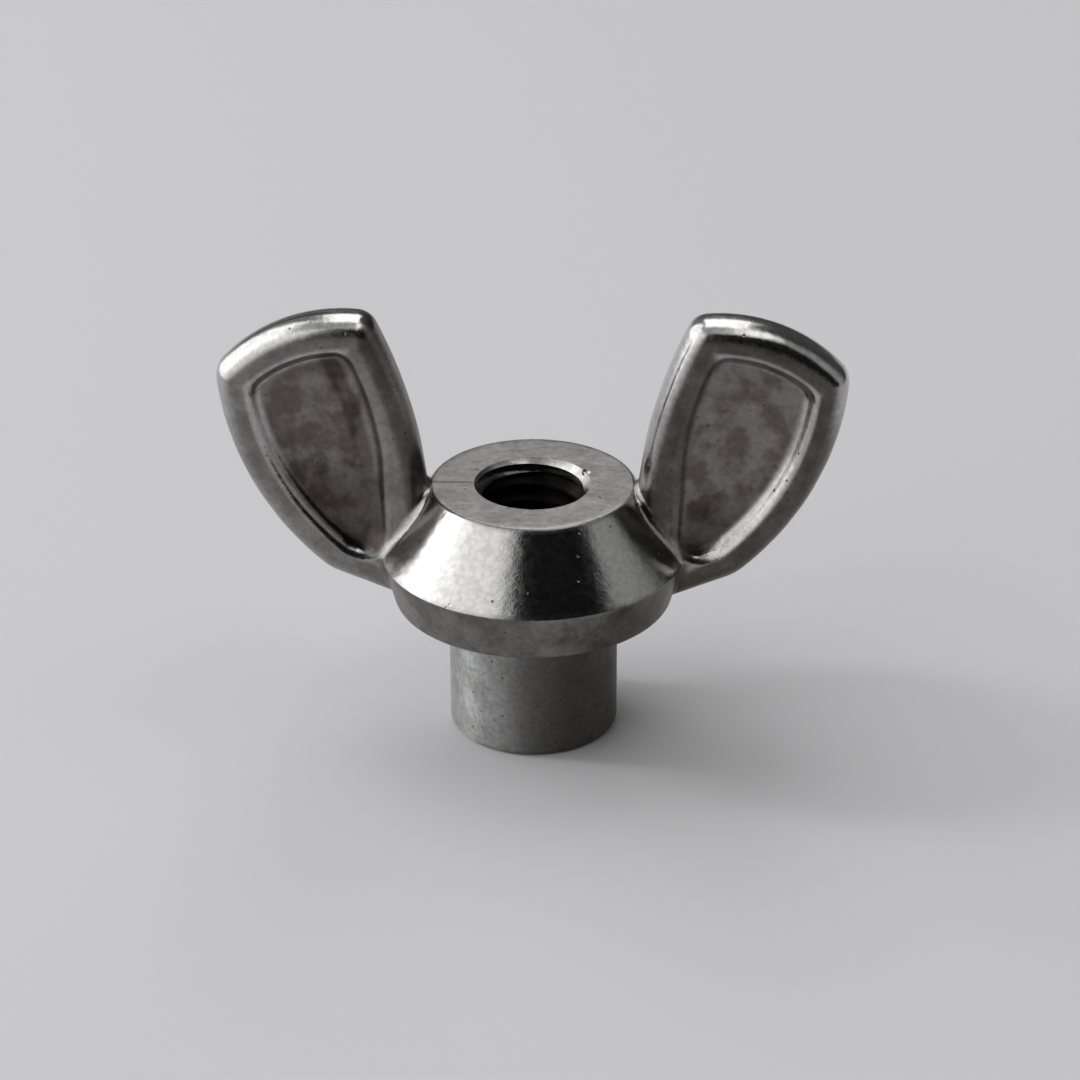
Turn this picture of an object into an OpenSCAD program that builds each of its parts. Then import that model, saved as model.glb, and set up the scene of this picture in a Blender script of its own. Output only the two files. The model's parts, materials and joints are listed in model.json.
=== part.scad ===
// Wing nut: a die-cast hub with two wings, cast round a knurled steel bush.
// Millimetres. The bush stands on z = 0, its bore runs along Z and the wings lie along X.

/* [Thread] */
// Diameter of the hole before the thread is cut (M8 coarse)
tap_drill_d = 6.8; // [5:0.1:8.2]
// Width of the chamfer at the foot of the bush
lead_in = 0.8; // [0.2:0.1:1]
// Width of the chamfer round the mouth in the top of the hub
mouth_chamfer = 0.55; // [0.2:0.05:0.7]

/* [Steel bush] */
// Diameter of the neck
neck_d = 11.5; // [9.6:0.1:13.8]
// Length of the neck, which stands out below the casting
neck_len = 9.6; // [4:0.1:14]
// Step from the neck in to the part of the bush that is inside the casting
shoulder_w = 0.25; // [0.1:0.05:0.6]
// Radius of the rounded foot edge
foot_edge_r = 0.5; // [0.2:0.1:1]
// Width of the keying ring groove inside the casting
groove_w = 1.2; // [0.6:0.1:1.6]
// Depth of the keying ring groove
groove_depth = 0.7; // [0.3:0.1:0.9]
// Plain length between the mouth of the casting and the groove
groove_offset = 1.2; // [0.8:0.1:1.6]
// Length of the knurled band
knurl_len = 3; // [1:0.1:3.2]
// Plain length between the groove and the knurled band
knurl_offset = 0.8; // [0.4:0.1:1]
// Depth of the knurl's grooves
knurl_depth = 0.35; // [0.2:0.05:0.5]
// Number of grooves round the knurl
knurl_count = 30; // [18:1:40]

/* [Hub] */
// Height of the lower taper, from the underside to the widest line
collar_h = 3.4; // [1.5:0.1:6]
// Height of the upper cone
cone_h = 5; // [4.2:0.1:8]
// Diameter of the flat underside
underside_d = 18.8; // [15.6:0.1:19.6]
// Diameter at the widest line
widest_d = 20.7; // [19.8:0.1:24.9]
// Diameter of the flat top
top_d = 13.7; // [12.2:0.1:16]
// Radius of the edge between the cone and the top
top_edge_r = 0.25; // [0.1:0.05:0.4]
// Radius of the edge round the underside
underside_edge_r = 0.4; // [0.1:0.05:0.6]
// Thickness of the casting over the end of the bush
skin_t = 1; // [0.8:0.1:1.4]

/* [Wings] */
// Distance over the tips of both wings
wing_span = 42.15; // [35:0.05:52]
// Overall height, from the foot of the bush to the top of the wings
overall_h = 30.4; // [28:0.1:37]
// Thickness of a wing
wing_t = 3.8; // [3:0.1:5]
// Radius of the rounding round the edge of a wing
wing_edge_r = 1.3; // [0.5:0.05:1.4]
// Height of a wing's tip, below the overall height
tip_drop = 4.05; // [3:0.05:5]
// Length of a wing's straight lower edge, from the hub to the start of the outer edge
flank_len = 5.1; // [3.5:0.1:6.5]
// Height at which the outer edge's curve is upright, below the overall height
outer_arc_drop = 2.9; // [2:0.1:4]
// Distance of the highest point from the line of the inner edge
crown_offset = 1.75; // [1.3:0.05:3]
// Radius of the edge that faces the axis
inner_arc_r = 34.7; // [28:0.1:45]
// Gap between the wings where it is narrowest
wing_gap = 13.9; // [12:0.1:15]
// Depth of that narrowest place below the top of the hub
wing_gap_drop = 3.4; // [1:0.1:5]
// Radius of the wing's two free corners
corner_r = 1.5; // [0.8:0.1:2.2]
// Slope of the wing's lower edge where it leaves the hub
root_slope = 22; // [10:1:30]
// Height of the wing's lower edge above the underside
root_rise = 0.2; // [0:0.1:1]

/* [Recesses] */
// Width of the rim round a recess
rim_w = 2.35; // [2:0.05:3]
// Depth of a recess at its wall
recess_depth = 0.9; // [0.4:0.05:1.1]
// Width of the sloped wall of a recess
recess_wall_w = 0.6; // [0.3:0.05:1]
// Corner radius of a recess
recess_corner_r = 1; // [0.5:0.1:1.5]
// Distance between the widest line's edge and the near side of a recess
recess_root_gap = 0.45; // [0.2:0.05:0.8]

/* [Hidden] */

round_fn = 96;
edge_step = 22.5;
side_steps = 7;
corner_steps = 5;
straight_r = 1000;
hidden_corner_r = 0.2;
flank_blend_r = 4;
recess_blend_r = 8;
root_lean = 15;
over = 1;

neck_r = neck_d / 2;
core_r = neck_r - shoulder_w;
bore_r = tap_drill_d / 2;
widest_z = neck_len + collar_h;
top_z = widest_z + cone_h;
bush_top_z = top_z - skin_t;
groove_z = neck_len + groove_offset;
knurl_z = groove_z + groove_w + knurl_offset;
cone_tilt = atan2(cone_h, (widest_d - top_d) / 2);
collar_tilt = atan2(collar_h, (widest_d - underside_d) / 2);
recess_root_x = widest_d / 2 - recess_root_gap;

function unit(a) = [cos(a), sin(a)];
function heading(v) = atan2(v.y, v.x);
function turn(a0, a1) = (a1 - a0 + 900) % 360 - 180;

flank_start = [underside_d / 2 - underside_edge_r, neck_len + root_rise];
flank_end = flank_start + flank_len * unit(root_slope);
tip = [wing_span / 2, overall_h - tip_drop];
gap_z = top_z - wing_gap_drop;
inner_arc = [[wing_gap / 2 + inner_arc_r, gap_z], inner_arc_r];
crown = [inner_arc[0].x - sqrt(pow(inner_arc_r, 2) - pow(overall_h - gap_z, 2)) + crown_offset, overall_h];
top_arc = arc_from_crown(crown, tip);
outer_arc = arc_at_height(overall_h - outer_arc_drop, flank_end, tip);

// Arc, as [centre, radius], with its highest point at p and passing through q
function arc_from_crown(p, q) =
    let (v = q - p, r = v * v / (-2 * v.y))
    [p - [0, r], r];

// Arc through p and q with its centre at height z
function arc_at_height(z, p, q) =
    let (x = (q * q - p * p - 2 * z * (q.y - p.y)) / (2 * (q.x - p.x)), centre = [x, z])
    [centre, norm(q - centre)];

// Points along an arc from angle a0 to angle a1
function arc(centre, r, a0, a1, steps = 6) =
    [for (i = [0:steps]) centre + r * unit(a0 + (a1 - a0) * i / steps)];

// The bush as a solid of revolution, with its keying groove and without its bore
module bush_body() {
    rotate_extrude($fn = round_fn)
        polygon(concat(
            [[0, 0]],
            arc([neck_r - foot_edge_r, foot_edge_r], foot_edge_r, -90, 0),
            [[neck_r, neck_len], [core_r, neck_len],
             [core_r, groove_z], [core_r - groove_depth, groove_z],
             [core_r - groove_depth, groove_z + groove_w], [core_r, groove_z + groove_w],
             [core_r, bush_top_z], [0, bush_top_z]]));
}

// The grooves of the knurl, each a right-angled vee along the bush
module knurl_grooves() {
    for (i = [0:knurl_count - 1])
        rotate(360 * i / knurl_count)
            translate([core_r - knurl_depth, 0, knurl_z])
                linear_extrude(knurl_len)
                    polygon([[0, 0], [2 * knurl_depth, -2 * knurl_depth],
                             [2 * knurl_depth, 2 * knurl_depth]]);
}

// The bush's whole outer form, which is also the seat in the casting
module bush_form() {
    difference() {
        bush_body();
        knurl_grooves();
    }
}

// Straight hole of the tap drill, from z0 to z1
module tap_hole(z0, z1) {
    translate([0, 0, z0])
        cylinder(r = bore_r, h = z1 - z0, $fn = round_fn);
}

module threaded_bush() {
    color("slategray")
        difference() {
            bush_form();
            tap_hole(-over, bush_top_z + over);
            cylinder(r1 = bore_r + lead_in, r2 = bore_r, h = lead_in, $fn = round_fn);
        }
}

// Hub of the casting, solid through
module hub() {
    top_edge_back = top_edge_r * tan(cone_tilt / 2);
    under_edge_back = underside_edge_r * tan(collar_tilt / 2);
    rotate_extrude($fn = round_fn)
        polygon(concat(
            [[0, neck_len]],
            arc([underside_d / 2 - under_edge_back, neck_len + underside_edge_r],
                underside_edge_r, -90, collar_tilt - 90),
            [[widest_d / 2, widest_z]],
            arc([top_d / 2 - top_edge_back, top_z - top_edge_r],
                top_edge_r, 90 - cone_tilt, 90),
            [[0, top_z]]));
}

// The five sides of a wing in side view, as [centre, radius], counter-clockwise from below.
// The first and last are straight, so they are arcs of a very long radius.
function wing_sides(root_point, lean) = [
    [flank_start + straight_r * unit(root_slope + 90), straight_r],
    outer_arc,
    top_arc,
    inner_arc,
    [root_point + straight_r * unit(lean), straight_r]];

// Where two neighbouring sides meet when both are drawn inset
function meet(s0, s1, inset) =
    let (v = s1[0] - s0[0], d = norm(v), u = v / d,
         r0 = s0[1] - inset, r1 = s1[1] - inset,
         along = (d * d + r0 * r0 - r1 * r1) / (2 * d))
    s0[0] + along * u + sqrt(r0 * r0 - along * along) * [-u.y, u.x];

// Outline of those sides, drawn inset, with the corner after side k rounded to radii[k]
function outline(sides, radii, inset) =
    let (n = len(sides),
         corners = [for (k = [0:n - 1]) meet(sides[k], sides[(k + 1) % n], inset + radii[k])])
    [for (k = [0:n - 1])
        let (centre = sides[k][0],
             from = heading(corners[(k + n - 1) % n] - centre),
             to = heading(corners[k] - centre),
             next = heading(corners[k] - sides[(k + 1) % n][0]))
        each concat(
            arc(centre, sides[k][1] - inset, from, from + turn(from, to), side_steps),
            [for (i = [1:corner_steps - 1])
                corners[k] + radii[k] * unit(to + turn(to, next) * i / corner_steps)])];

function edge_ring(a) =
    let (inset = wing_edge_r * (1 - cos(a)), free_r = max(corner_r - inset, hidden_corner_r))
    outline(wing_sides(flank_start, root_lean),
        [flank_blend_r, free_r, free_r, hidden_corner_r, hidden_corner_r], inset);

function recess_ring(a) =
    outline(wing_sides([recess_root_x - rim_w, 0], 0),
        [recess_corner_r, recess_corner_r, recess_corner_r, recess_blend_r, recess_corner_r],
        rim_w + recess_wall_w * (1 - cos(a)));

// A ring of the wing's surface: the outline's points, at a distance from the middle plane
function lift(ring, y) = [for (p = ring) [p.x, y, p.y]];

// Rings over one face of a wing, from the floor of its recess to its rounded edge
function face_rings() = concat(
    [for (a = [90:-edge_step:0]) lift(recess_ring(a), wing_t / 2 - recess_depth * sin(a))],
    [for (a = [90:-edge_step:0]) lift(edge_ring(a), wing_t / 2 - wing_edge_r * (1 - sin(a)))]);

function mirrored(ring) = [for (p = ring) [p.x, -p.y, p.z]];

// One wing, as rings of points joined from one face to the other
module wing() {
    near = face_rings();
    rings = concat(near, [for (k = [len(near) - 1:-1:0]) mirrored(near[k])]);
    n = len(rings[0]);
    last = len(rings) - 1;
    polyhedron(
        points = [for (ring = rings) each ring],
        faces = concat(
            [[for (i = [0:n - 1]) i]],
            [for (k = [0:last - 1], i = [0:n - 1])
                let (a = k * n + i, b = k * n + (i + 1) % n)
                each [[a, a + n, b], [b, a + n, b + n]]],
            [[for (i = [n - 1:-1:0]) last * n + i]]));
}

module wing_casting() {
    color("silver")
        difference() {
            union() {
                hub();
                wing();
                mirror([1, 0, 0])
                    wing();
            }
            bush_form();
            tap_hole(bush_top_z - over, top_z + over);
            translate([0, 0, top_z - mouth_chamfer])
                cylinder(r1 = bore_r, r2 = bore_r + mouth_chamfer, h = mouth_chamfer, $fn = round_fn);
        }
}

wing_casting();
threaded_bush();
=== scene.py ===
import json
import math
import bpy
from mathutils import Matrix, Vector


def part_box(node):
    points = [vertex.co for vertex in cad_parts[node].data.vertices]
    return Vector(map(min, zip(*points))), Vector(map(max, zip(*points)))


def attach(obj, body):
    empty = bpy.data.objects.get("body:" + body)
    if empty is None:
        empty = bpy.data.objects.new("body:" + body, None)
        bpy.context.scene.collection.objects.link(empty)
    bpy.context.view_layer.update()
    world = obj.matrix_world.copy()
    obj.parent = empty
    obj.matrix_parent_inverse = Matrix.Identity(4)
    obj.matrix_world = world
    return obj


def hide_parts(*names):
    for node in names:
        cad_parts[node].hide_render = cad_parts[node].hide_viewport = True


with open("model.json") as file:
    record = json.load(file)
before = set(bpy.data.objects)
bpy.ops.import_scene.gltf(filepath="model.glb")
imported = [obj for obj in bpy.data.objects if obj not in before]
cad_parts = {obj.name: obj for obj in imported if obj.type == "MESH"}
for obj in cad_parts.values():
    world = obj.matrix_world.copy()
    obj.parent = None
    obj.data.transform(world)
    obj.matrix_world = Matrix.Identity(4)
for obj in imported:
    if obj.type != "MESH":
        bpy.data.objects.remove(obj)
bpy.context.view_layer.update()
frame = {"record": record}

mm = 0.001 # pieces are made at 1 unit = 1 mm, then brought down to size


def deselectAll():
    if bpy.context.object and bpy.context.object.mode != 'OBJECT':
        bpy.ops.object.mode_set(mode='OBJECT')
    bpy.ops.object.select_all(action='DESELECT')

def pick(obj):
    deselectAll()
    obj.select_set(True)
    bpy.context.view_layer.objects.active = obj

def useModifier(obj, kind, **settings):
    pick(obj)
    mod = obj.modifiers.new(kind.lower(), kind)
    for key, value in settings.items():
        setattr(mod, key, value)
    bpy.ops.object.modifier_apply(modifier=mod.name)

def combine(obj, other, operation):
    useModifier(obj, 'BOOLEAN', object=other, operation=operation, solver='MANIFOLD')
    bpy.data.objects.remove(other, do_unlink=True)
    return obj

def duplicate(obj, name):
    pick(obj)
    bpy.ops.object.duplicate()
    copy = bpy.context.object
    copy.name = name
    return copy

def selectVerts(obj, test):
    # run in edit mode; leaves only the chosen vertices selected
    bpy.ops.mesh.select_all(action='DESELECT')
    bpy.ops.object.mode_set(mode='OBJECT')
    for v in obj.data.vertices:
        v.select = test(v)
    bpy.ops.object.mode_set(mode='EDIT')

def turnedSolid(name, profile, segments):
    # a circle pulled up and scaled from ring to ring, closed at both ends
    deselectAll()
    r0, z0 = profile[0]
    bpy.ops.mesh.primitive_circle_add(vertices=segments, radius=r0, fill_type='NGON', location=(0, 0, z0))
    obj = bpy.context.object
    obj.name = name
    bpy.ops.object.transform_apply(location=True, rotation=True, scale=True)
    bpy.ops.object.mode_set(mode='EDIT')
    bpy.ops.mesh.select_mode(type='FACE')
    for (rA, zA), (rB, zB) in zip(profile, profile[1:]):
        bpy.ops.mesh.extrude_region_move(TRANSFORM_OT_translate={"value": (0, 0, zB - zA)})
        s = rB / rA
        bpy.ops.transform.resize(value=(s, s, 1), center_override=(0, 0, zB))
    bpy.ops.mesh.select_all(action='SELECT')
    bpy.ops.mesh.normals_make_consistent(inside=False)
    bpy.ops.object.mode_set(mode='OBJECT')
    return obj

def arc(centre, r, a0, a1, steps):
    points = []
    for i in range(steps + 1):
        a = math.radians(a0 + (a1 - a0) * i / steps)
        points.append((centre[0] + r * math.cos(a), centre[1] + r * math.sin(a)))
    return points

def line(p0, p1, step):
    # points from p0 up to but not including p1, about a step apart
    n = max(1, round(math.dist(p0, p1) / step))
    return [(p0[0] + (p1[0] - p0[0]) * i / n, p0[1] + (p1[1] - p0[1]) * i / n) for i in range(n)]

def finishPiece(obj, name, nodes):
    pick(obj)
    obj.scale = (mm, mm, mm)
    bpy.ops.object.transform_apply(location=True, rotation=True, scale=True)
    obj.name = name
    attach(obj, "root")
    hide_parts(*nodes)
    return obj


def boxInMm(node):
    low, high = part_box(node)
    return [c / mm for c in low], [c / mm for c in high]

castLow, castHigh = boxInMm("wing_casting")
bushHigh = boxInMm("threaded_bush")[1]
mounts = {m["name"]: m for m in frame["record"]["mounts"]}
boreR = mounts["thread"]["dims"]["r_mm"]
neckLen = castLow[2]
widestR = castHigh[1]
bushR = bushHigh[0]
bushTop = bushHigh[2]
print("sizes read")


bush = {
    "segments": 120,
    "footEdge": 0.5,
    "leadIn": 0.8,
    "shoulder": 0.25,
    "grooveZ": 1.2,
    "grooveW": 1.2,
    "grooveDepth": 0.7,
    "knurlGap": 0.8,
    "knurlLen": 3.0,
    "knurlDepth": 0.35,
    "knurlEvery": 4, # one groove of the knurl for so many segments
    "knurlMark": 0.01, # the knurled band is made this much smaller, to find its points by
    "knurlNear": 0.004,
}

thread = {
    "pitch": 1.25,
    "depth": 0.62,
    "rootFlat": 0.16,
    "crestFlat": 0.2,
    "steps": 72,
    "weld": 0.001,
    "clear": 0.002, # how far the tap's core stays inside the bore
    "runOut": 3,
}

def bushForm(name):
    # outer form of the bush, which the casting is also formed round
    e = bush["footEdge"]
    g0 = neckLen + bush["grooveZ"]
    g1 = g0 + bush["grooveW"]
    k0 = g1 + bush["knurlGap"]
    k1 = k0 + bush["knurlLen"]
    coreR = bushR - bush["shoulder"]
    grooveR = coreR - bush["grooveDepth"]
    knurlR = coreR - bush["knurlMark"]
    rim = arc((bushR - e, e), e, -90, 0, 6)
    profile = rim + [
        (bushR, neckLen), (coreR, neckLen), (coreR, g0), (grooveR, g0), (grooveR, g1), (coreR, g1),
        (coreR, k0), (knurlR, k0), (knurlR, k1), (coreR, k1), (coreR, bushTop)]
    form = turnedSolid(name, profile, bush["segments"])
    pick(form)
    bpy.ops.object.mode_set(mode='EDIT')
    bpy.ops.mesh.select_mode(type='VERT')
    def inKnurl(v):
        r = math.hypot(v.co.x, v.co.y)
        turn = round(math.degrees(math.atan2(v.co.y, v.co.x)) * bush["segments"] / 360)
        inBand = k0 - 0.1 < v.co.z < k1 + 0.1 and abs(r - knurlR) < bush["knurlNear"]
        return inBand and turn % bush["knurlEvery"] == 0
    selectVerts(form, inKnurl)
    s = (coreR - bush["knurlDepth"]) / coreR
    bpy.ops.transform.resize(value=(s, s, 1), center_override=(0, 0, (k0 + k1) / 2))
    bpy.ops.object.mode_set(mode='OBJECT')
    return form

def threadTap(name, z0, z1):
    # a screw with the thread's form, to cut the bore with
    p, d = thread["pitch"], thread["depth"]
    half = (p - thread["rootFlat"] - thread["crestFlat"]) / 2
    core = boreR - thread["clear"]
    deselectAll()
    bpy.ops.mesh.primitive_plane_add(size=1, location=(core, 0, z0))
    obj = bpy.context.object
    obj.name = name
    bpy.ops.object.transform_apply(location=True, rotation=True, scale=True)
    bpy.ops.object.mode_set(mode='EDIT')
    bpy.ops.mesh.select_mode(type='VERT')
    bpy.ops.mesh.select_all(action='SELECT')
    bpy.ops.mesh.merge(type='CENTER')
    for dr, dz in ((0, thread["crestFlat"]), (d, half), (0, thread["rootFlat"]), (-d, half)):
        bpy.ops.mesh.extrude_region_move(TRANSFORM_OT_translate={"value": (dr, 0, dz)})
    bpy.ops.object.mode_set(mode='OBJECT')
    useModifier(obj, 'SCREW', angle=2 * math.pi, screw_offset=p, iterations=math.ceil((z1 - z0) / p),
                steps=thread["steps"], render_steps=thread["steps"], use_merge_vertices=True,
                merge_threshold=thread["weld"], use_smooth_shade=False)
    pick(obj)
    bpy.ops.object.mode_set(mode='EDIT')
    bpy.ops.mesh.select_all(action='SELECT')
    bpy.ops.mesh.remove_doubles(threshold=2 * thread["weld"])
    bpy.ops.mesh.select_all(action='DESELECT')
    bpy.ops.mesh.select_mode(type='EDGE')
    bpy.ops.mesh.select_non_manifold(extend=False, use_wire=False, use_boundary=True,
                                     use_multi_face=False, use_non_contiguous=False, use_verts=False)
    bpy.ops.mesh.edge_face_add()
    bpy.ops.mesh.select_all(action='SELECT')
    bpy.ops.mesh.quads_convert_to_tris()
    bpy.ops.mesh.normals_make_consistent(inside=False)
    bpy.ops.object.mode_set(mode='OBJECT')
    return obj

def makeBush():
    body = bushForm("bushBlank")
    e = bush["leadIn"]
    leadIn = turnedSolid("leadIn", [(boreR + 2 * e, -e), (boreR - e, 2 * e)], bush["segments"])
    combine(body, threadTap("bushTap", -thread["runOut"], bushTop + thread["runOut"]), 'DIFFERENCE')
    combine(body, leadIn, 'DIFFERENCE')
    return body

hub = {
    "segments": 180,
    "underR": 9.4,
    "underEdge": 0.4,
    "widestZ": 13.0,
    "widestEdge": 0.12,
    "topZ": 18.0,
    "topR": 6.85,
    "topEdge": 0.28,
    "mouthChamfer": 0.55,
    "ringStep": 0.3,
    "coreGap": 0.05,
}

def hubProfile(shrink=0.0):
    # outline of the hub from its underside up and over to the mouth, or drawn in by shrink and closed on top
    coneTilt = math.degrees(math.atan2(hub["topZ"] - hub["widestZ"], widestR - hub["topR"]))
    collarTilt = math.degrees(math.atan2(hub["widestZ"] - neckLen, widestR - hub["underR"]))
    eU, eW, eT = hub["underEdge"], hub["widestEdge"], hub["topEdge"]
    backU = eU * math.tan(math.radians(collarTilt / 2))
    backT = eT * math.tan(math.radians(coneTilt / 2))
    under = arc((hub["underR"] - backU, neckLen + eU), eU, -90, collarTilt - 90, 5)
    bisector = math.radians((collarTilt - 90 + 90 - coneTilt) / 2)
    half = math.radians((90 - coneTilt) - (collarTilt - 90)) / 2
    centreW = (widestR - eW / math.cos(half) * math.cos(bisector),
               hub["widestZ"] - eW / math.cos(half) * math.sin(bisector))
    widest = arc(centreW, eW, collarTilt - 90, 90 - coneTilt, 4)
    top = arc((hub["topR"] - backT, hub["topZ"] - eT), eT, 90 - coneTilt, 90, 5)
    step = hub["ringStep"]
    mouthR = boreR + hub["mouthChamfer"]
    profile = under[:-1] + line(under[-1], widest[0], step) + widest[:-1]
    profile += line(widest[-1], top[0], step) + top[:-1]
    if shrink:
        profile += [(hub["topR"] - backT, hub["topZ"])]
        low, high = neckLen + shrink, hub["topZ"] - shrink
        return [(r - shrink, min(max(z, low), high)) for r, z in profile]
    profile += line(top[-1], (mouthR, hub["topZ"]), step) + [(mouthR, hub["topZ"])]
    return profile

wing = {
    "thick": 3.8,
    "edgeIn": 1.3, # how far in from the outline the edge's rounding starts
    "edgeBack": 1.6, # and how far back from the face it ends
    "outerArc": (0.5, 27.5, 20.6), # centre across and up, radius
    "topArc": (12.5, 19.3, 11.1),
    "innerArc": (41.65, 14.6, 34.7),
    "flank": (9.0, 9.8, 22), # a point on the lower edge and its slope in degrees
    "rootLean": 15,
    "cornerR": 1.5,
    "flankR": 4.0,
    "hiddenR": 0.25,
    "rimW": 2.4,
    "crown": 0.03,
    "wallSlope": 52,
    "rollR": 0.8,
    "floorR": 0.9,
    "recessX": 9.9,
    "recessDepth": 0.9,
    "recessCornerR": 1.3,
    "recessBlendR": 20.0,
    "blendZ": 24.0,
    "dish": 0.22,
    "dishMiddle": (13.9, 21.0),
    "dishRings": (0.15, 0.3, 0.45, 0.6, 0.74, 0.86, 0.95),
    "wallSteps": 6,
    "edgeTurn": 10,
    "sideSteps": (8, 44, 20, 24, 10), # flank, outer, top, inner and root side
    "cornerSteps": (6, 9, 9, 30, 6),
    "waves": 0.05,
    "waveSize": 2.6,
}

def meetOf(s0, s1, inset):
    # where two sides meet once each is drawn in by inset
    (x0, y0, r0), (x1, y1, r1) = s0, s1
    r0, r1 = r0 - inset, r1 - inset
    d = math.dist((x0, y0), (x1, y1))
    ux, uy = (x1 - x0) / d, (y1 - y0) / d
    along = (d * d + r0 * r0 - r1 * r1) / (2 * d)
    up = math.sqrt(r0 * r0 - along * along)
    return (x0 + along * ux - up * uy, y0 + along * uy + up * ux)

def sideArcs(rootX, rootZ, lean):
    # the wing's five sides as circles; the two straight ones have a very long radius
    far = 1000
    fx, fz, slope = wing["flank"]
    a, b = math.radians(slope + 90), math.radians(lean)
    return [(fx + far * math.cos(a), fz + far * math.sin(a), far), wing["outerArc"], wing["topArc"],
            wing["innerArc"], (rootX + far * math.cos(b), rootZ + far * math.sin(b), far)]

def outline(sides, radii, inset, splitZ=None):
    # the sides drawn in by inset, with rounded corners; always the same number of points
    # splitZ spends the points of the inner root corner along the inner side, from that height down
    n = len(sides)
    corners = [meetOf(sides[k], sides[(k + 1) % n], inset + radii[k]) for k in range(n)]
    def heading(c, s):
        return math.degrees(math.atan2(c[1] - s[1], c[0] - s[0]))
    def turned(a0, a1):
        return (a1 - a0 + 180) % 360 - 180
    points = []
    for k, (x, y, r) in enumerate(sides):
        a0 = heading(corners[k - 1], sides[k])
        a1 = heading(corners[k], sides[k])
        bend = turned(a1, heading(corners[k], sides[(k + 1) % n]))
        steps, bends = wing["sideSteps"][k], wing["cornerSteps"][k]
        if splitZ and k == 3:
            part = 180 - math.degrees(math.asin((splitZ - y) / (r - inset)))
            points += arc((x, y), r - inset, a0, a0 + turned(a0, part), steps)[:-1]
            points += arc((x, y), r - inset, part, part + turned(part, a1), bends)[:-1]
        else:
            points += arc((x, y), r - inset, a0, a0 + turned(a0, a1), steps)[:-1]
            points += arc(corners[k], radii[k], a1, a1 + bend, bends)[:-1]
    return points

def loft(name, rings):
    # a flat face pulled along from ring to ring, closed at both ends
    deselectAll()
    bpy.ops.mesh.primitive_circle_add(vertices=len(rings[0]), radius=1, fill_type='NGON')
    obj = bpy.context.object
    obj.name = name
    for v, p in zip(obj.data.vertices, rings[0]):
        v.co = p
    for ring in rings[1:]:
        bpy.ops.object.mode_set(mode='EDIT')
        bpy.ops.mesh.select_mode(type='FACE')
        bpy.ops.mesh.extrude_region_move(TRANSFORM_OT_translate={"value": (0, 0, 0)})
        bpy.ops.object.mode_set(mode='OBJECT')
        fresh = [v for v in obj.data.vertices if v.select]
        for v, p in zip(fresh, ring):
            v.co = p
    pick(obj)
    bpy.ops.object.mode_set(mode='EDIT')
    bpy.ops.mesh.select_all(action='SELECT')
    bpy.ops.mesh.normals_make_consistent(inside=False)
    bpy.ops.object.mode_set(mode='OBJECT')
    return obj

def recessOutline(inset):
    grow = wing["rimW"] - inset
    corner = wing["recessCornerR"] + grow
    radii = (corner, corner, corner, wing["recessBlendR"] + grow, corner)
    return outline(sideArcs(wing["recessX"] - wing["rimW"], 0, 0), radii, inset)

def edgeOutline(inset):
    fx, fz, lean = wing["flank"][0], wing["flank"][1], wing["rootLean"]
    free = max(wing["cornerR"] - inset, wing["hiddenR"])
    stay = inset / math.cos(math.radians(lean)) # keeps the root side where it is, inside the hub
    radii = (wing["flankR"], free, free, 0, wing["hiddenR"])
    return outline(sideArcs(fx - stay, fz, lean), radii, inset, wing["blendZ"])

def nearFace():
    # rings over one face, from the middle of the recess floor to the wing's edge
    half, rimW = wing["thick"] / 2, wing["rimW"]
    floorY = half - wing["recessDepth"]
    rollR, floorR, slope = wing["rollR"], wing["floorR"], wing["wallSlope"]
    c, n = math.cos(math.radians(slope)), math.sin(math.radians(slope))
    straight = (wing["recessDepth"] - wing["crown"] - (rollR + floorR) * (1 - c)) * c / n
    floorEnd = rimW + straight / 2 + floorR * n
    rollEnd = rimW - straight / 2 - rollR * n
    rings = []
    mx, mz = wing["dishMiddle"]
    for s in wing["dishRings"]:
        y = floorY - wing["dish"] * (1 + math.cos(math.pi * s)) / 2
        rings.append([(mx + (x - mx) * s, y, mz + (z - mz) * s) for x, z in recessOutline(floorEnd)])
    steps = wing["wallSteps"]
    for k in range(steps + 1):
        a = math.radians(slope * k / steps)
        inset, y = floorEnd - floorR * math.sin(a), floorY + floorR * (1 - math.cos(a))
        rings.append([(x, y, z) for x, z in recessOutline(inset)])
    for k in range(steps, -1, -1):
        a = math.radians(slope * k / steps)
        inset, y = rollEnd + rollR * math.sin(a), half - wing["crown"] - rollR * (1 - math.cos(a))
        rings.append([(x, y, z) for x, z in recessOutline(inset)])
    pairs = zip(recessOutline(rollEnd), edgeOutline(wing["edgeIn"]))
    rings.append([((x0 + x1) / 2, half, (z0 + z1) / 2) for (x0, z0), (x1, z1) in pairs])
    for a in range(90, -1, -wing["edgeTurn"]):
        c, n = math.cos(math.radians(a)), math.sin(math.radians(a))
        inset, y = wing["edgeIn"] * (1 - c), half - wing["crown"] - wing["edgeBack"] * (1 - n)
        rings.append([(x, y, z) for x, z in edgeOutline(inset)])
    return rings

def makeWing():
    near = nearFace()
    rings = near + [[(x, -y, z) for x, y, z in ring] for ring in reversed(near)]
    blank = loft("wing", rings)
    waves = bpy.data.textures.new("castWaves", 'CLOUDS')
    waves.noise_scale = wing["waveSize"]
    waves.noise_depth = 1
    useModifier(blank, 'DISPLACE', texture=waves, texture_coords='LOCAL', strength=wing["waves"],
                mid_level=0.5)
    return blank

cast = {
    "voxel": 0.16,
    "offHub": (1.32, 3.3), # softened fully up to the first distance, not at all past the second
    "offFace": (1.54, 3.52),
    "coveSmooth": 200,
    "skinSmooth": 3,
    "sink": 0.06,
    "rootFrom": 5, # the wings' roots are further out than this
    "nick": (3.95, 18.12, 27, 0.42), # radius and height of its place, turn in degrees, size
}

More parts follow.
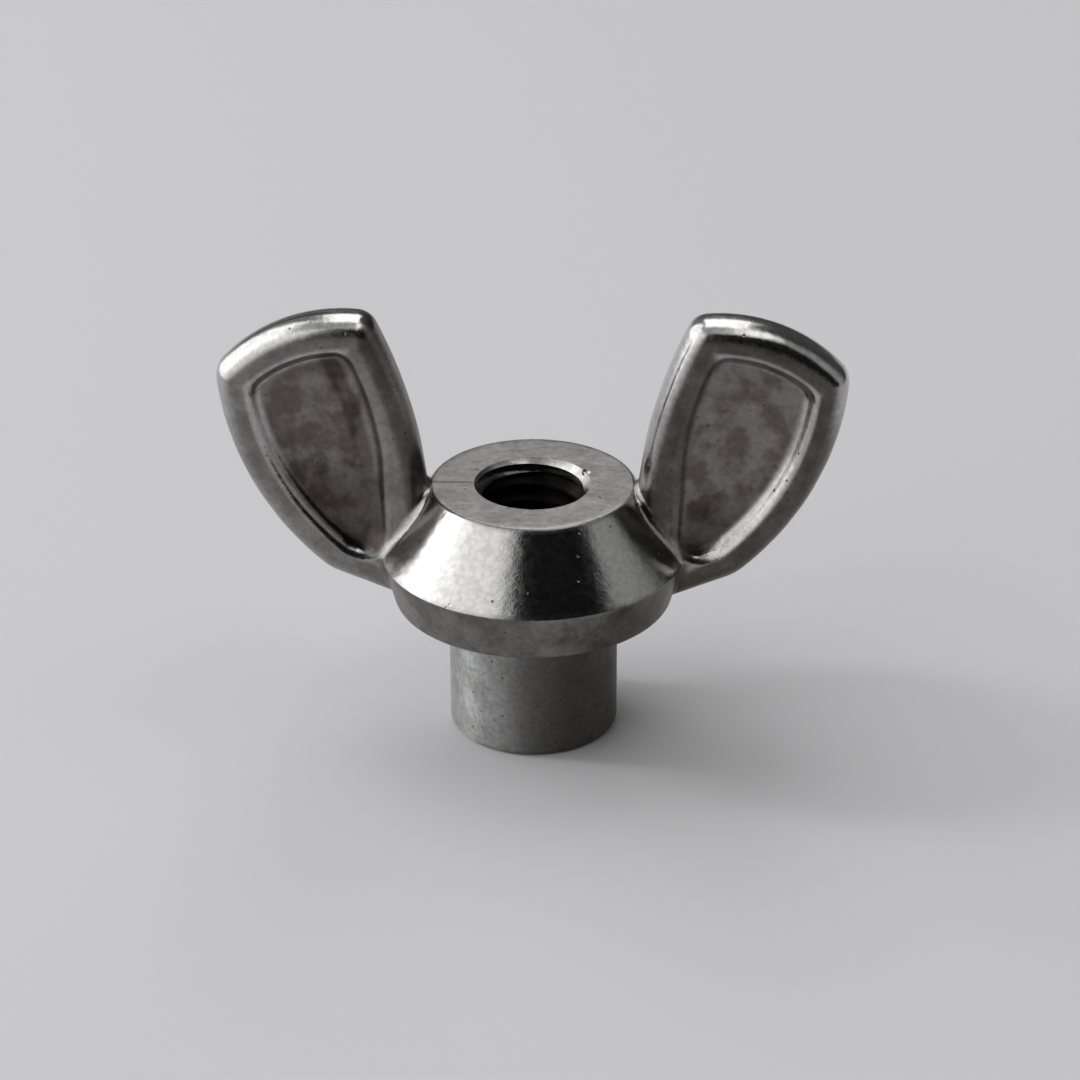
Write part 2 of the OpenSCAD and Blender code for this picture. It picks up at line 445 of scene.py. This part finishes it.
def hubDistance(x, y, z):
    # how far a point stands out of the hub; negative inside
    r = math.hypot(x, y)
    cone = math.atan2(hub["topZ"] - hub["widestZ"], widestR - hub["topR"])
    collar = math.atan2(hub["widestZ"] - neckLen, widestR - hub["underR"])
    offCone = (r - widestR) * math.sin(cone) + (z - hub["widestZ"]) * math.cos(cone)
    offCollar = (r - widestR) * math.sin(collar) - (z - hub["widestZ"]) * math.cos(collar)
    return max(offCone, offCollar, z - hub["topZ"], neckLen - z)

def smoothGroup(obj, name, weightOf, iterations):
    group = obj.vertex_groups.new(name=name)
    for v in obj.data.vertices:
        w = weightOf(v.co)
        if w > 0.01:
            group.add([v.index], min(w, 1), 'REPLACE')
    useModifier(obj, 'SMOOTH', factor=0.5, iterations=iterations, vertex_group=name)
    obj.vertex_groups.remove(obj.vertex_groups[name])

def fade(value, full, gone):
    # 1 at full, smoothly down to 0 at gone
    t = min(max((gone - value) / (gone - full), 0), 1)
    return t * t * (3 - 2 * t)

def mirroredCopy(obj, name):
    copy = duplicate(obj, name)
    bpy.ops.transform.resize(value=(-1, 1, 1), center_override=(0, 0, 0))
    bpy.ops.object.transform_apply(location=True, rotation=True, scale=True)
    bpy.ops.object.mode_set(mode='EDIT')
    bpy.ops.mesh.select_all(action='SELECT')
    bpy.ops.mesh.normals_make_consistent(inside=False)
    bpy.ops.object.mode_set(mode='OBJECT')
    return copy

def makeCoves(right, left):
    # a softened skin of core and wings, sunk just below the surface except in the corners it fills
    skin = turnedSolid("coves", hubProfile(hub["coreGap"]), hub["segments"])
    combine(skin, duplicate(right, "a"), 'UNION')
    combine(skin, duplicate(left, "b"), 'UNION')
    useModifier(skin, 'REMESH', mode='VOXEL', voxel_size=cast["voxel"], adaptivity=0.0)
    half = wing["thick"] / 2
    def atRoot(co):
        out = hubDistance(co.x, co.y, co.z)
        onHub = fade(abs(out - 0.2), *cast["offHub"])
        return onHub * fade(abs(abs(co.y) - half), *cast["offFace"]) * (abs(co.x) > cast["rootFrom"])
    smoothGroup(skin, "all", lambda co: 1, cast["skinSmooth"])
    smoothGroup(skin, "roots", atRoot, cast["coveSmooth"])
    useModifier(skin, 'DISPLACE', strength=-cast["sink"], mid_level=0)
    return skin

def makeCasting():
    right = makeWing()
    left = mirroredCopy(right, "leftWing")
    coves = makeCoves(right, left)
    print("coves", len(coves.data.vertices))
    body = turnedSolid("hub", hubProfile(), hub["segments"])
    combine(body, right, 'UNION')
    combine(body, left, 'UNION')
    combine(body, coves, 'UNION')
    combine(body, bushForm("seat"), 'DIFFERENCE')
    combine(body, threadTap("castTap", bushTop - 2, hub["topZ"] + thread["runOut"]), 'DIFFERENCE')
    e = hub["mouthChamfer"]
    cone = [(boreR - e, hub["topZ"] - 2 * e), (boreR + 2 * e, hub["topZ"] + e)]
    mouth = turnedSolid("mouth", cone, hub["segments"])
    combine(body, mouth, 'DIFFERENCE')
    nickR, nickZ, nickTurn, nickSize = cast["nick"]
    a = math.radians(nickTurn)
    deselectAll()
    bpy.ops.mesh.primitive_ico_sphere_add(subdivisions=3, radius=nickSize,
                                          location=(nickR * math.cos(a), nickR * math.sin(a), nickZ))
    nick = bpy.context.object
    bpy.ops.object.transform_apply(location=True, rotation=True, scale=True)
    combine(body, nick, 'DIFFERENCE')
    print("casting formed", len(body.data.polygons))
    return body

def sideDepths(x, z):
    # how far inside each side of the wing's outline a point lies: flank, outer, top, inner
    fx, fz = wing["flank"][:2]
    sides = sideArcs(fx, fz, wing["rootLean"])[:4]
    return [r - math.dist((cx, cz), (abs(x), z)) for cx, cz, r in sides]

# each pair is the full and gone of one fade, in mm; bandAt and the height of the painted sheen on the right
# floor are places, the rest are strengths
# settings of the casting's finish, which also lays on painted highlights, painted shade and painted dark
# reflections
finish = {
    "hub": (0.15, 0.6),
    "coneFoot": (0, 0.08),
    "coneTop": (0.2, 0.05),
    "topFace": (0.2, 0.02),
    "topPolish": 0.25,
    "innerSide": (-0.3, 0.5),
    "sunk": (-0.1, 0.15),
    "wallOut": (-0.7, -0.35),
    "wallIn": (0.25, 0.75),
    "wallInner": 0.8, # how much less the wall shows along the inner side
    "wallPolish": 0.8,
    "rolled": (0.4, 1.2),
    "high": (20, 27),
    "rightSide": (6, 8),
    "basePolish": 0.12,
    "rolledPolish": 0.25,
    "highPolish": 0.63,
    "leftInner": 0.7, # how much of it the left wing's inner edge lacks, as a painted dark reflection
    # painted sheen: the right wing's recess floor is made more polished and so lighter round one height
    "rubbed": (0.5, 6.5),
    "rubbedZ": 21.5,
    "rubbedPolish": 0.28,
    # painted highlight: the right wing's inner edge, which faces the window, is made polished and so light
    "edgePolish": 0.75,
    "cornerOff": (0.3, 1.1),
    "cornerAcross": (0.5, 1.5),
    "cornerDirt": 0.4,
    "wallClean": 0.9,
    # painted shade inside the bore
    "boreWall": (0.2, 0.5),
    "boreTop": (0.6, 0.4),
    # painted dark reflection along the left wing's inner edge
    "darkEdge": (1.0, 1.8),
    # painted dark reflection in a band across the left recess floor, along its inner side
    "band": (0.3, 0.9),
    "bandAt": 3.7,
    "bandAbove": (17, 19),
    "bandPatina": 0.85,
    # from this height up, the right wing's recess floor is left out of its painted shade
    "lowRight": (15, 20),
    # painted dark reflection low on the left wing's recess floor
    "lowLeft": (17, 23),
    # the left wing's rim is made darker high up
    "highPatina": 0.35,
    # the collar under the widest ring is browner, and darker towards the right as painted shade
    "collarAcross": (-4, 9),
    "collarPatina": 0.85,
}

def castFinishAndPaintedLight(co):
    # red: how polished, with painted highlights and dark reflections on the wings; green: how dirty; blue:
    # painted shade inside the bore; alpha: how free of brown patina and of painted shade and dark reflections
    x, y, z = co
    f = finish
    out = hubDistance(x, y, z)
    half = wing["thick"] / 2
    below = hub["topZ"] - z
    onHub = fade(out, *f["hub"])
    onCone = (1 - fade(z - hub["widestZ"], *f["coneFoot"])) * fade(below, *f["coneTop"])
    onTop = 1 - fade(below, *f["topFace"])
    onRight, onLeft = 1 - fade(x, *f["rightSide"]), 1 - fade(-x, *f["rightSide"])

    depths = sideDepths(x, z)
    d = min(depths)
    fromRoot = abs(x) - wing["recessX"] + wing["rimW"]
    nearInner = fade(min(depths[3], fromRoot) - min(depths[:3]), *f["innerSide"])
    inRecess = min(d, fromRoot) - wing["rimW"]
    sunk = 1 - fade(inRecess, *f["sunk"])
    wall = (1 - fade(inRecess, *f["wallOut"])) * fade(inRecess, *f["wallIn"])
    wall *= 1 - f["wallInner"] * nearInner
    rolled = fade(d, *f["rolled"])
    high = 1 - fade(z, *f["high"])

    # painted highlight: the right wing's inner edge, which faces the window
    paintedHighlightEdge = rolled * nearInner * onRight
    edgePolish = rolled * (f["rolledPolish"] + f["highPolish"] * high)
    # painted dark reflection: the left wing's inner edge loses most of this polish
    edgePolish *= 1 - f["leftInner"] * nearInner * onLeft
    # painted sheen on the right wing's recess floor
    rubbed = sunk * onRight * fade(abs(z - f["rubbedZ"]), *f["rubbed"])
    # polish, with the painted highlight and sheen on the right wing and less polish on the left wing's inner
    # edge as a painted dark reflection
    wingPolishAndPaintedLight = max((f["basePolish"] + edgePolish) * (1 - sunk), f["wallPolish"] * wall,
                     f["edgePolish"] * paintedHighlightEdge, f["rubbedPolish"] * rubbed)
    polishAndPaintedLight = (onCone + f["topPolish"] * onTop) * onHub + wingPolishAndPaintedLight * (1 - onHub)

    corner = fade(abs(out - 0.3), *f["cornerOff"]) * fade(abs(abs(y) - half), *f["cornerAcross"])
    corner *= abs(x) > cast["rootFrom"]
    dirt = sunk * (1 - f["wallClean"] * wall) * (1 - onHub) + f["cornerDirt"] * corner
    # painted shade inside the bore
    bore = fade(math.hypot(x, y) - boreR, *f["boreWall"]) * fade(below, *f["boreTop"])

    # painted dark reflection along the left wing's inner edge
    darkEdge = fade(d, *f["darkEdge"]) * nearInner
    # painted dark reflection in a band across the left recess floor, along its inner side
    band = sunk * fade(abs(depths[3] - f["bandAt"]), *f["band"]) * (1 - fade(z, *f["bandAbove"]))
    # painted dark reflection, on the lower part of the left recess floor
    paintedDarkLowFloor = sunk * fade(z, *f["lowLeft"])
    # the rim high up, which is made darker on the left wing
    highRim = high * (1 - rolled) * (1 - sunk)
    # upper recess floor, left out of the right wing's painted shade
    floorFreeOfPatinaAndShade = sunk * (1 - fade(z, *f["lowRight"]))
    # painted shade over most of the right wing, which faces the dark side of the room, with a brown tint of
    # patina; on the left wing this channel carries its painted dark reflections
    patina = onRight * (1 - rolled * high) * (1 - paintedHighlightEdge) * (1 - wall) * (1 - floorFreeOfPatinaAndShade)
    patina += onLeft * max(darkEdge, f["bandPatina"] * band, paintedDarkLowFloor, f["highPatina"] * highRim)
    # the collar under the widest ring is browner, and darker towards the right as painted shade
    collar = fade(z, hub["widestZ"] - 0.1, hub["widestZ"]) * (1 - fade(x, *f["collarAcross"]))
    patina = min(patina, 1) * (1 - onHub) + f["collarPatina"] * collar * onHub
    return (min(polishAndPaintedLight, 1), min(dirt, 1), bore, 1 - patina)

def storeFinishAndPaintedLight(obj, finishAndPaintedLightOf):
    # kept as a colour on the points, which the material reads
    attr = obj.data.color_attributes.new(name="finish", type='FLOAT_COLOR', domain='POINT')
    values = []
    for v in obj.data.vertices:
        values += finishAndPaintedLightOf(v.co)
    attr.data.foreach_set("color", values)

smoothAngle = 32 # edges sharper than this stay sharp

bushBlank = makeBush()
castBlank = makeCasting()
storeFinishAndPaintedLight(castBlank, castFinishAndPaintedLight)
bushPiece = finishPiece(bushBlank, "steelBush", ["threaded_bush"])
castPiece = finishPiece(castBlank, "wingCasting", ["wing_casting"])
for piece in (bushPiece, castPiece):
    pick(piece)
    bpy.ops.object.shade_smooth_by_angle(angle=math.radians(smoothAngle))
print("pieces finished")

def addNode(tree, kind, inputs=None, **settings):
    node = tree.nodes.new("ShaderNode" + kind)
    for key, value in settings.items():
        setattr(node, key, value)
    for key, value in (inputs or {}).items():
        if isinstance(value, bpy.types.NodeSocket):
            tree.links.new(value, node.inputs[key])
        else:
            node.inputs[key].default_value = value
    return node

def calc(tree, operation, a, b=0.0):
    return addNode(tree, "Math", {0: a, 1: b}, operation=operation).outputs[0]

def remap(tree, value, a, b, c=0.0, d=1.0):
    return addNode(tree, "MapRange", {"Value": value, "From Min": a, "From Max": b, "To Min": c, "To Max": d},
                   interpolation_type='SMOOTHSTEP').outputs[0]

def mixColour(tree, factor, a, b, blend='MIX'):
    return addNode(tree, "Mix", {0: factor, 6: a, 7: b}, data_type='RGBA', blend_type=blend).outputs[2]

def patternSpace(tree):
    # object coordinates in millimetres
    place = addNode(tree, "TexCoord").outputs["Object"]
    return addNode(tree, "Mapping", {"Vector": place, "Scale": (1 / mm, 1 / mm, 1 / mm)}).outputs[0]

def noise(tree, space, scale, detail=3.0, rough=0.55):
    return addNode(tree, "TexNoise", {"Vector": space, "Scale": scale, "Detail": detail,
                                      "Roughness": rough}).outputs["Fac"]

def pits(tree, space, scale, size, share):
    # small round marks, on a share of a loose grid of cells
    cell = addNode(tree, "TexVoronoi", {"Vector": space, "Scale": scale}, feature='F1')
    chance = addNode(tree, "SeparateColor", {"Color": cell.outputs["Color"]}).outputs[0]
    chosen = calc(tree, 'LESS_THAN', chance, share)
    mark = remap(tree, cell.outputs["Distance"], size, size * 0.4)
    return calc(tree, 'MULTIPLY', mark, chosen)

def newMaterial(name, metallic):
    mat = bpy.data.materials.new(name)
    mat.use_nodes = True
    shader = mat.node_tree.nodes["Principled BSDF"]
    shader.inputs["Metallic"].default_value = metallic
    return mat, mat.node_tree, shader

zinc = {
    "polished": (0.56, 0.555, 0.55, 1),
    "matteLight": (0.235, 0.23, 0.22, 1),
    "matteDark": (0.15, 0.138, 0.125, 1),
    "grimeLight": (0.25, 0.235, 0.222, 1),
    "grimeDark": (0.15, 0.13, 0.118, 1),
    # brown patina, which also lays on painted shade and dark reflections
    "patina": (0.43, 0.4, 0.37, 1),
    "seam": (0.06, 0.05, 0.045, 1),
    "speck": (0.05, 0.04, 0.035, 1),
    # painted shade inside the bore, near black
    "boreDark": (0.014, 0.013, 0.012, 1),
    "roughMatte": 0.36,
    "roughPolished": 0.14,
    "roughVary": 0.14,
    "roughDirt": 0.12,
    "waviness": 0.00002,
    "grain": 0.000008,
    "broad": (0.45, 4.0, 0.6), # scale, detail and roughness of a noise, as in the four below
    "blotch": (0.55, 3.0, 0.5),
    "fine": (2.4, 5.0, 0.6),
    "crystals": (9.0, 3.0, 0.6),
    "ripple": (1.1, 2.0),
    "matteRange": (0.35, 0.62),
    "grimeRange": (0.38, 0.6),
    "mottle": (0.3, 0.7, 0.82, 1.06),
    "patinaBreak": 0.9,
    "patinaRange": (1.35, 0.35),
    "pits": (1.3, 0.16, 0.35),
    "pitShade": 0.75,
    "pitDepth": 2.0,
    "seamHalf": (0.24, 0.08),
    "seamAbove": (17.9, 17.98),
    "seamFrom": (-3.6, -4.2),
    "seamWobble": 0.15,
    "seamShade": 0.6,
}

def makeZinc():
    mat, tree, shader = newMaterial("castZinc", 1.0)
    space = patternSpace(tree)
    # the finish attribute, which also carries painted highlights, painted shade and painted dark reflections
    painted = addNode(tree, "Attribute", attribute_name="finish")
    parts = addNode(tree, "SeparateColor", {"Color": painted.outputs["Color"]})
    polishAndPaintedLight, dirt, bore = parts.outputs[0], parts.outputs[1], parts.outputs[2]
    broad = noise(tree, space, *zinc["broad"])
    fine = noise(tree, space, *zinc["fine"])
    crystals = noise(tree, space, *zinc["crystals"])
    blotch = noise(tree, space, *zinc["blotch"])
    matte = mixColour(tree, remap(tree, broad, *zinc["matteRange"]), zinc["matteDark"], zinc["matteLight"])
    colour = mixColour(tree, polishAndPaintedLight, matte, zinc["polished"])
    grime = mixColour(tree, remap(tree, blotch, *zinc["grimeRange"]), zinc["grimeDark"], zinc["grimeLight"])
    colour = mixColour(tree, dirt, colour, grime)
    mottle = remap(tree, fine, *zinc["mottle"])
    tint = addNode(tree, "CombineColor", {0: mottle, 1: mottle, 2: mottle}).outputs[0]
    colour = mixColour(tree, 1.0, colour, tint, 'MULTIPLY')
    # brown patina and painted shade, where the finish's alpha is low
    broken = calc(tree, 'MULTIPLY', blotch, zinc["patinaBreak"])
    brownAndShade = remap(tree, calc(tree, 'ADD', painted.outputs["Alpha"], broken), *zinc["patinaRange"])
    colour = mixColour(tree, brownAndShade, colour, mixColour(tree, 1.0, colour, zinc["patina"], 'MULTIPLY'))
    marks = pits(tree, space, *zinc["pits"])
    colour = mixColour(tree, calc(tree, 'MULTIPLY', marks, zinc["pitShade"]), colour, zinc["speck"])
    axes = addNode(tree, "SeparateXYZ", {"Vector": space})
    wobble = calc(tree, 'MULTIPLY', fine, zinc["seamWobble"])
    across = calc(tree, 'ABSOLUTE', calc(tree, 'ADD', axes.outputs[1], wobble))
    onFace = remap(tree, axes.outputs[2], *zinc["seamAbove"])
    seam = calc(tree, 'MULTIPLY', remap(tree, across, *zinc["seamHalf"]), onFace)
    seam = calc(tree, 'MULTIPLY', seam, remap(tree, axes.outputs[0], *zinc["seamFrom"]))
    colour = mixColour(tree, calc(tree, 'MULTIPLY', seam, zinc["seamShade"]), colour, zinc["seam"])
    # painted shade inside the bore
    colour = mixColour(tree, bore, colour, zinc["boreDark"])
    tree.links.new(colour, shader.inputs["Base Color"])
    rough = addNode(tree, "MapRange", {"Value": polishAndPaintedLight, "To Min": zinc["roughMatte"],
                                       "To Max": zinc["roughPolished"]}).outputs[0]
    vary = calc(tree, 'MULTIPLY', calc(tree, 'SUBTRACT', fine, 0.5), zinc["roughVary"])
    rough = calc(tree, 'ADD', rough, vary)
    rough = calc(tree, 'ADD', rough, calc(tree, 'MULTIPLY', dirt, zinc["roughDirt"]))
    tree.links.new(rough, shader.inputs["Roughness"])
    ripple = noise(tree, space, *zinc["ripple"])
    wave = addNode(tree, "Bump", {"Height": ripple, "Distance": zinc["waviness"]})
    pitted = calc(tree, 'SUBTRACT', crystals, calc(tree, 'MULTIPLY', marks, zinc["pitDepth"]))
    skin = addNode(tree, "Bump", {"Height": pitted, "Distance": zinc["grain"], "Normal": wave.outputs[0]})
    tree.links.new(skin.outputs[0], shader.inputs["Normal"])
    return mat

steel = {
    "light": (0.4, 0.41, 0.415, 1),
    "dark": (0.3, 0.295, 0.285, 1),
    # painted shade: the bush darker on its right side, away from the window
    "stain": (0.36, 0.33, 0.3, 1),
    "speck": (0.045, 0.035, 0.03, 1),
    # painted shade inside the bore
    "boreDark": (0.014, 0.013, 0.012, 1),
    "rough": 0.5,
    "brushed": 0.85,
    "roughVary": 0.14,
    "turning": 0.000004,
    "grain": 0.000012,
    "broad": (0.5, 4.0, 0.6),
    "fine": (2.8, 5.0, 0.65),
    "rust": (7.0, 3.0),
    "darkRange": (0.35, 0.62),
    "mottle": (0.3, 0.7, 0.78, 1.08),
    "stainBreak": 5.0, # how far the edge of the painted shade on the right wanders, in mm
    "stainRange": (-4.5, 4.0),
    "pits": (1.5, 0.17, 0.4),
    "pitShade": 0.8,
    "pitDepth": 2.0,
    "boreWall": (0.9, 0.65), # painted shade inside the bore, from outside the thread in to full darkness
    "ridges": 1.6,
    "ridgeWander": 0.6,
}

def makeSteel():
    mat, tree, shader = newMaterial("dullSteel", 1.0)
    space = patternSpace(tree)
    broad = noise(tree, space, *steel["broad"])
    fine = noise(tree, space, *steel["fine"])
    colour = mixColour(tree, remap(tree, broad, *steel["darkRange"]), steel["dark"], steel["light"])
    mottle = remap(tree, fine, *steel["mottle"])
    tint = addNode(tree, "CombineColor", {0: mottle, 1: mottle, 2: mottle}).outputs[0]
    colour = mixColour(tree, 1.0, colour, tint, 'MULTIPLY')
    axes = addNode(tree, "SeparateXYZ", {"Vector": space})
    # painted shade: the neck darker towards its right side, away from the window
    wander = calc(tree, 'MULTIPLY', calc(tree, 'SUBTRACT', broad, 0.5), steel["stainBreak"])
    side = calc(tree, 'ADD', axes.outputs[0], wander)
    rightSideShaded = mixColour(tree, 1.0, colour, steel["stain"], 'MULTIPLY')
    colour = mixColour(tree, remap(tree, side, *steel["stainRange"]), colour, rightSideShaded)
    marks = pits(tree, space, *steel["pits"])
    colour = mixColour(tree, calc(tree, 'MULTIPLY', marks, steel["pitShade"]), colour, steel["speck"])
    flat = addNode(tree, "CombineXYZ", {0: axes.outputs[0], 1: axes.outputs[1]}).outputs[0]
    radius = addNode(tree, "VectorMath", {0: flat}, operation='LENGTH').outputs["Value"]
    outerR, innerR = [boreR + gap for gap in steel["boreWall"]]
    # painted shade inside the bore
    colour = mixColour(tree, remap(tree, radius, outerR, innerR), colour, steel["boreDark"])
    tree.links.new(colour, shader.inputs["Base Color"])
    vary = calc(tree, 'MULTIPLY', calc(tree, 'SUBTRACT', fine, 0.5), steel["roughVary"])
    tree.links.new(calc(tree, 'ADD', vary, steel["rough"]), shader.inputs["Roughness"])
    # the lathe's fine grooves run round the axis, so the gloss is drawn out along it
    back = calc(tree, 'MULTIPLY', axes.outputs[1], -1.0)
    around = addNode(tree, "CombineXYZ", {0: back, 1: axes.outputs[0]}).outputs[0]
    tree.links.new(around, shader.inputs["Tangent"])
    shader.inputs["Anisotropic"].default_value = steel["brushed"]
    shader.inputs["Anisotropic Rotation"].default_value = 0.25
    lathe = addNode(tree, "TexWave", {"Vector": space, "Scale": steel["ridges"],
                                      "Distortion": steel["ridgeWander"], "Detail": 1.0},
                    wave_type='BANDS', bands_direction='Z').outputs["Fac"]
    turned = addNode(tree, "Bump", {"Height": lathe, "Distance": steel["turning"]})
    rust = noise(tree, space, *steel["rust"])
    pitted = calc(tree, 'SUBTRACT', rust, calc(tree, 'MULTIPLY', marks, steel["pitDepth"]))
    skin = addNode(tree, "Bump", {"Height": pitted, "Distance": steel["grain"], "Normal": turned.outputs[0]})
    tree.links.new(skin.outputs[0], shader.inputs["Normal"])
    return mat

for piece, mat in ((castPiece, makeZinc()), (bushPiece, makeSteel())):
    piece.data.materials.clear()
    piece.data.materials.append(mat)
print("materials made")

studio = {
    "floorSize": 1.6,
    "floorColour": (0.605, 0.6, 0.614, 1),
    "floorRough": 0.85,
    "keyPlace": (-0.4375, 0.0576, 0.2347),
    "keyAim": (0, 0, 0.01),
    "keySize": (0.06, 0.1),
    "keyPower": 0.6,
    "skyScale": 3.0, # the room's brightnesses are kept as shares of this
    "overhead": 0.45,
    "overheadFrom": (54, 64), # heights in degrees, over which one brightness gives way to the next
    "horizon": 0.3,
    "horizonFrom": (-6, -1),
    "fill": 1.6,
    "fillFrom": (55, 62),
    "fillRight": (0.05, 0.2), # by how far the direction points to the right, of 1
    "fillFront": (0.25, 0.05), # and by how far it points away from the front
    "backLight": 2.1,
    "backFrom": (26, 33),
    "backHalf": (0.26, 0.15),
    "backBehind": (0.1, 0.2),
}

def makeFloor():
    deselectAll()
    bpy.ops.mesh.primitive_plane_add(size=studio["floorSize"], location=(0, 0, 0))
    floor = bpy.context.object
    floor.name = "floor"
    mat, tree, shader = newMaterial("paleFloor", 0.0)
    shader.inputs["Roughness"].default_value = studio["floorRough"]
    shader.inputs["Base Color"].default_value = studio["floorColour"]
    floor.data.materials.append(mat)

def softLight(name, place, aim, size, power):
    bpy.ops.object.light_add(type='AREA', location=place)
    lamp = bpy.context.object
    lamp.name = name
    lamp.data.shape = 'RECTANGLE'
    lamp.data.size, lamp.data.size_y = size
    lamp.data.energy = power
    lamp.rotation_euler = (Vector(aim) - Vector(place)).to_track_quat('-Z', 'Y').to_euler()
    return lamp

# the room's brightness by angle to the right of the side that the camera stands on, in degrees
roomRound = ((-180, 0.08), (-152, 0.25), (-142, 1.75), (-80, 1.85), (-73, 1.35), (-33, 1.15), (-15, 0.005),
             (60, 0.005), (70, 0.38), (95, 0.3), (115, 0.06), (180, 0.08))

def makeRoom():
    world = bpy.data.worlds.new("room")
    bpy.context.scene.world = world
    world.use_nodes = True
    tree = world.node_tree
    look = addNode(tree, "TexCoord").outputs["Generated"]
    axes = addNode(tree, "SeparateXYZ", {"Vector": look})
    towards = calc(tree, 'MULTIPLY', axes.outputs[1], -1.0)
    bearing = calc(tree, 'ARCTAN2', axes.outputs[0], towards)
    turn = calc(tree, 'ADD', calc(tree, 'DIVIDE', bearing, 2 * math.pi), 0.5)
    height = calc(tree, 'MULTIPLY', calc(tree, 'ARCSINE', axes.outputs[2]), 180 / math.pi)
    def grey(level):
        c = level / studio["skyScale"]
        return (c, c, c, 1)
    ramp = addNode(tree, "ValToRGB", {"Fac": turn})
    stops = ramp.color_ramp.elements
    while len(stops) < len(roomRound):
        stops.new(0.5)
    for stop, (angle, level) in zip(stops, roomRound):
        shift = view["azimuth"] if abs(angle) < 180 else 0 # the two ends stay where the ring closes
        stop.position = (angle + shift) / 360 + 0.5
        stop.color = grey(level)
    aboveFloor = remap(tree, height, *studio["horizonFrom"])
    colour = mixColour(tree, aboveFloor, grey(studio["horizon"]), ramp.outputs[0])
    colour = mixColour(tree, remap(tree, height, *studio["overheadFrom"]), colour, grey(studio["overhead"]))
    onRight = remap(tree, axes.outputs[0], *studio["fillRight"])
    fill = calc(tree, 'MULTIPLY', onRight, remap(tree, height, *studio["fillFrom"]))
    fill = calc(tree, 'MULTIPLY', fill, remap(tree, axes.outputs[1], *studio["fillFront"]))
    colour = mixColour(tree, fill, colour, grey(studio["fill"]))
    aside = remap(tree, calc(tree, 'ABSOLUTE', axes.outputs[0]), *studio["backHalf"])
    behind = calc(tree, 'MULTIPLY', aside, remap(tree, height, *studio["backFrom"]))
    behind = calc(tree, 'MULTIPLY', behind, remap(tree, axes.outputs[1], *studio["backBehind"]))
    colour = mixColour(tree, behind, colour, grey(studio["backLight"]))
    back = tree.nodes["Background"]
    tree.links.new(colour, back.inputs["Color"])
    back.inputs["Strength"].default_value = studio["skyScale"]

view = {
    "elevation": 27.3,
    "azimuth": 2.5,
    "roll": -0.25,
    "distance": 258.7,
    "lens": 127.0,
    "sensor": 36,
    "aim": (0.48, 0, 13.67),
    "nearClip": 0.01,
}

def placeCamera():
    e, a = math.radians(view["elevation"]), math.radians(view["azimuth"])
    back = Vector((math.sin(a) * math.cos(e), -math.cos(a) * math.cos(e), math.sin(e)))
    place = (Vector(view["aim"]) + back * view["distance"]) * mm
    bpy.ops.object.camera_add(location=place)
    cam = bpy.context.object
    cam.name = "viewCamera"
    turn = (-back).to_track_quat('-Z', 'Y').to_matrix().to_4x4()
    roll = Vector((0, 0, 1))
    cam.rotation_euler = (turn @ Matrix.Rotation(math.radians(view["roll"]), 4, roll)).to_euler()
    cam.data.sensor_width = view["sensor"]
    cam.data.lens = view["lens"]
    cam.data.clip_start = view["nearClip"]
    bpy.context.scene.camera = cam

makeFloor()
softLight("windowLight", studio["keyPlace"], studio["keyAim"], studio["keySize"], studio["keyPower"])
makeRoom()
placeCamera()
bpy.context.scene.view_settings.view_transform = 'Standard'
print("floor, lights and camera placed")
